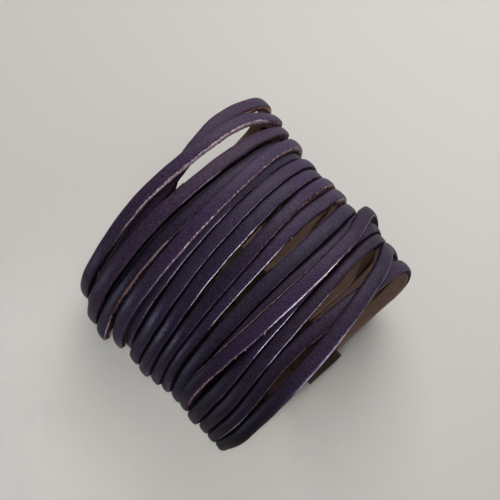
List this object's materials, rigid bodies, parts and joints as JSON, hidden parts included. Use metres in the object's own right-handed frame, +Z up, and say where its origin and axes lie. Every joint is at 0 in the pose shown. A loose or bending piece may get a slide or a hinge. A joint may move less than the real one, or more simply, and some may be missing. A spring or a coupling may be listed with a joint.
{
  "type": "leather cuff bracelet",
  "caption": "Wide cuff bracelet of flat leather laces laid side by side and crossing here and there, closed by a slotted bar under the wrist.",
  "frame": {"origin": "middle of the clasp bar's flat underside, on the ground the cuff lies on", "axes": "+X along the wrist, from the back edge toward the hand to the front edge toward the forearm, +Y across the wrist, +Z up through the crown"},
  "size_m": [0.058, 0.0662, 0.0409],
  "materials": {
    "lace_leather": "satin aubergine grain leather, cut edges left raw",
    "bar_steel": "brushed steel plated in dark bronze"
  },
  "bodies": {
    "root": {"lace_01": "lace_leather", "lace_02": "lace_leather", "lace_03": "lace_leather", "lace_04": "lace_leather", "lace_05": "lace_leather", "lace_06": "lace_leather", "lace_07": "lace_leather", "lace_08": "lace_leather", "lace_09": "lace_leather", "lace_10": "lace_leather", "lace_11": "lace_leather", "lace_12": "lace_leather", "lace_13": "lace_leather", "lace_14": "lace_leather", "lace_15": "lace_leather", "lace_16": "lace_leather", "lace_17": "lace_leather", "clasp_bar": "bar_steel"}
  },
  "joints": []
}
